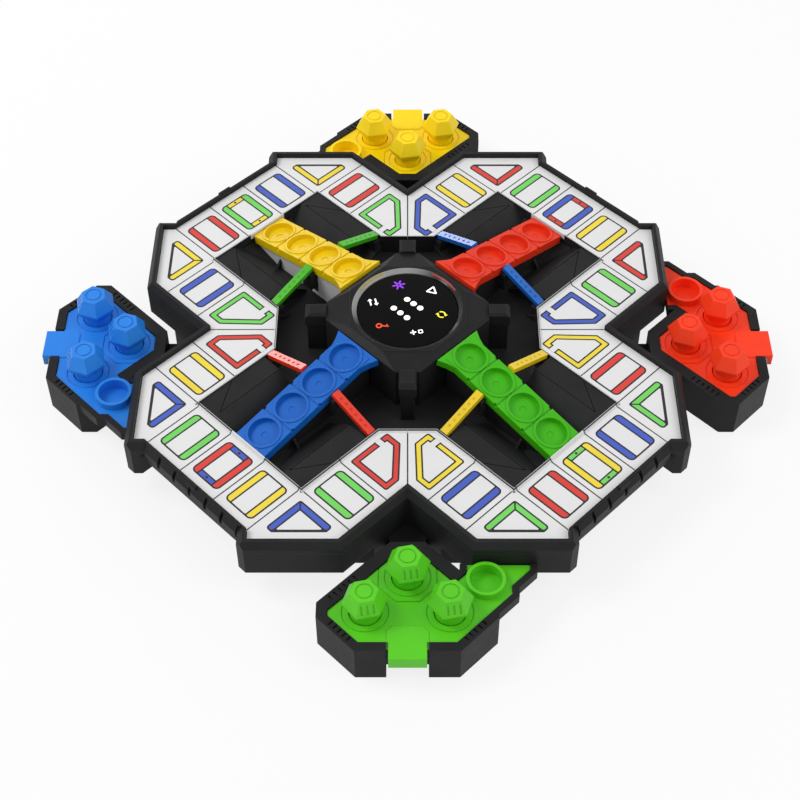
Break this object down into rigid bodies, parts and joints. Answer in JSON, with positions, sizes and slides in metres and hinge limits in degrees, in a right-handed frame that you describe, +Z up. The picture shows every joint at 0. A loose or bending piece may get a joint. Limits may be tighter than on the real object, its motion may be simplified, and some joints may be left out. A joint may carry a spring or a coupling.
{
  "type": "electronic board game",
  "caption": "Cross-shaped electronic race board game with white track plates, sloped coloured home lanes, a press-down display tower and plug-in trays of pawns.",
  "frame": {"origin": "centre of the bottom, on the table", "axes": "+Z up, -Y toward the tray nearest the viewer in the picture, +X to the viewer's right"},
  "size_m": [0.3484, 0.3484, 0.0452],
  "materials": {
    "black_plastic": "satin moulded plastic",
    "white_plate": "smooth printed plastic",
    "yellow_plastic": "smooth moulded plastic",
    "red_plastic": "smooth moulded plastic",
    "green_plastic": "smooth moulded plastic",
    "blue_plastic": "smooth moulded plastic",
    "grey_plastic": "satin moulded plastic",
    "tower_plastic": "satin moulded plastic",
    "clear_ring": "clear polished plastic",
    "display_black": "polished smoked window",
    "inner_plastic": "plain moulded plastic",
    "circuit_board": "coated circuit board",
    "lamp_white": "small lamp bodies",
    "contact_metal": "plated spring metal",
    "cell_wrap": "wrapped steel can",
    "screw_steel": "plated steel",
    "rubber_black": "soft rubber",
    "tray_plastic": "satin moulded plastic"
  },
  "bodies": {
    "board": {"base_shell": "black_plastic", "top_frame": "black_plastic", "track_yellow": "white_plate", "track_red": "white_plate", "track_green": "white_plate", "track_blue": "white_plate", "lane_yellow": "yellow_plastic", "lane_red": "red_plastic", "lane_green": "green_plastic", "lane_blue": "blue_plastic", "bars_green": "green_plastic", "bars_blue": "blue_plastic", "bars_yellow": "yellow_plastic", "bars_red": "red_plastic", "ramp_panels": "grey_plastic", "tower_housing": "tower_plastic", "tower_posts": "tower_plastic", "light_ring": "clear_ring", "display_board": "circuit_board", "display_lamps": "lamp_white", "press_switch": "contact_metal", "stop_pads": "rubber_black", "ribbon_cable": "grey_plastic", "main_board": "circuit_board", "board_chips": "inner_plastic", "speaker": "inner_plastic", "battery_box": "inner_plastic", "battery_cells": "cell_wrap", "battery_contacts": "contact_metal", "power_switch": "grey_plastic", "case_screws": "screw_steel", "rubber_feet": "rubber_black"},
    "display": {"display_lens": "display_black", "cap_carrier": "inner_plastic"},
    "door": {"battery_door": "black_plastic"},
    "knob": {"power_knob": "grey_plastic"},
    "tray_green": {"tray_green": "tray_plastic"},
    "insert_green": {"insert_green": "green_plastic"},
    "pawn_green_1": {"pawn_green_1": "green_plastic"},
    "pawn_green_2": {"pawn_green_2": "green_plastic"},
    "pawn_green_3": {"pawn_green_3": "green_plastic"},
    "tray_red": {"tray_red": "tray_plastic"},
    "insert_red": {"insert_red": "red_plastic"},
    "pawn_red_1": {"pawn_red_1": "red_plastic"},
    "pawn_red_2": {"pawn_red_2": "red_plastic"},
    "pawn_red_3": {"pawn_red_3": "red_plastic"},
    "tray_yellow": {"tray_yellow": "tray_plastic"},
    "insert_yellow": {"insert_yellow": "yellow_plastic"},
    "pawn_yellow_1": {"pawn_yellow_1": "yellow_plastic"},
    "pawn_yellow_2": {"pawn_yellow_2": "yellow_plastic"},
    "pawn_yellow_3": {"pawn_yellow_3": "yellow_plastic"},
    "tray_blue": {"tray_blue": "tray_plastic"},
    "insert_blue": {"insert_blue": "blue_plastic"},
    "pawn_blue_1": {"pawn_blue_1": "blue_plastic"},
    "pawn_blue_2": {"pawn_blue_2": "blue_plastic"},
    "pawn_blue_3": {"pawn_blue_3": "blue_plastic"}
  },
  "joints": [
    {"name": "display_press", "type": "slide", "parent": "board", "child": "display", "axis": [0, 0, -1], "range_m": [0, 0.002], "stiffness_N_per_m": 400, "springref_m": -0.0005},
    {"name": "power_slide", "type": "slide", "parent": "board", "child": "knob", "axis": [0, 1, 0], "range_m": [0, 0.004]},
    {"name": "door_slide", "type": "slide", "parent": "board", "child": "door", "axis": [1, 0, 0], "range_m": [0, 0.014]},
    {"name": "green_tray_pull", "type": "slide", "parent": "board", "child": "tray_green", "axis": [0, -1, 0], "range_m": [0, 0.045]},
    {"name": "green_insert_lift", "type": "slide", "parent": "tray_green", "child": "insert_green", "axis": [0, 0, 1], "range_m": [0, 0.025]},
    {"name": "green_pawn_1_lift", "type": "slide", "parent": "insert_green", "child": "pawn_green_1", "axis": [0, 0, 1], "range_m": [0, 0.03]},
    {"name": "green_pawn_2_lift", "type": "slide", "parent": "insert_green", "child": "pawn_green_2", "axis": [0, 0, 1], "range_m": [0, 0.03]},
    {"name": "green_pawn_3_lift", "type": "slide", "parent": "insert_green", "child": "pawn_green_3", "axis": [0, 0, 1], "range_m": [0, 0.03]},
    {"name": "red_tray_pull", "type": "slide", "parent": "board", "child": "tray_red", "axis": [1, 0, 0], "range_m": [0, 0.045]},
    {"name": "red_insert_lift", "type": "slide", "parent": "tray_red", "child": "insert_red", "axis": [0, 0, 1], "range_m": [0, 0.025]},
    {"name": "red_pawn_1_lift", "type": "slide", "parent": "insert_red", "child": "pawn_red_1", "axis": [0, 0, 1], "range_m": [0, 0.03]},
    {"name": "red_pawn_2_lift", "type": "slide", "parent": "insert_red", "child": "pawn_red_2", "axis": [0, 0, 1], "range_m": [0, 0.03]},
    {"name": "red_pawn_3_lift", "type": "slide", "parent": "insert_red", "child": "pawn_red_3", "axis": [0, 0, 1], "range_m": [0, 0.03]},
    {"name": "yellow_tray_pull", "type": "slide", "parent": "board", "child": "tray_yellow", "axis": [0, 1, 0], "range_m": [0, 0.045]},
    {"name": "yellow_insert_lift", "type": "slide", "parent": "tray_yellow", "child": "insert_yellow", "axis": [0, 0, 1], "range_m": [0, 0.025]},
    {"name": "yellow_pawn_1_lift", "type": "slide", "parent": "insert_yellow", "child": "pawn_yellow_1", "axis": [0, 0, 1], "range_m": [0, 0.03]},
    {"name": "yellow_pawn_2_lift", "type": "slide", "parent": "insert_yellow", "child": "pawn_yellow_2", "axis": [0, 0, 1], "range_m": [0, 0.03]},
    {"name": "yellow_pawn_3_lift", "type": "slide", "parent": "insert_yellow", "child": "pawn_yellow_3", "axis": [0, 0, 1], "range_m": [0, 0.03]},
    {"name": "blue_tray_pull", "type": "slide", "parent": "board", "child": "tray_blue", "axis": [-1, 0, 0], "range_m": [0, 0.045]},
    {"name": "blue_insert_lift", "type": "slide", "parent": "tray_blue", "child": "insert_blue", "axis": [0, 0, 1], "range_m": [0, 0.025]},
    {"name": "blue_pawn_1_lift", "type": "slide", "parent": "insert_blue", "child": "pawn_blue_1", "axis": [0, 0, 1], "range_m": [0, 0.03]},
    {"name": "blue_pawn_2_lift", "type": "slide", "parent": "insert_blue", "child": "pawn_blue_2", "axis": [0, 0, 1], "range_m": [0, 0.03]},
    {"name": "blue_pawn_3_lift", "type": "slide", "parent": "insert_blue", "child": "pawn_blue_3", "axis": [0, 0, 1], "range_m": [0, 0.03]}
  ]
}
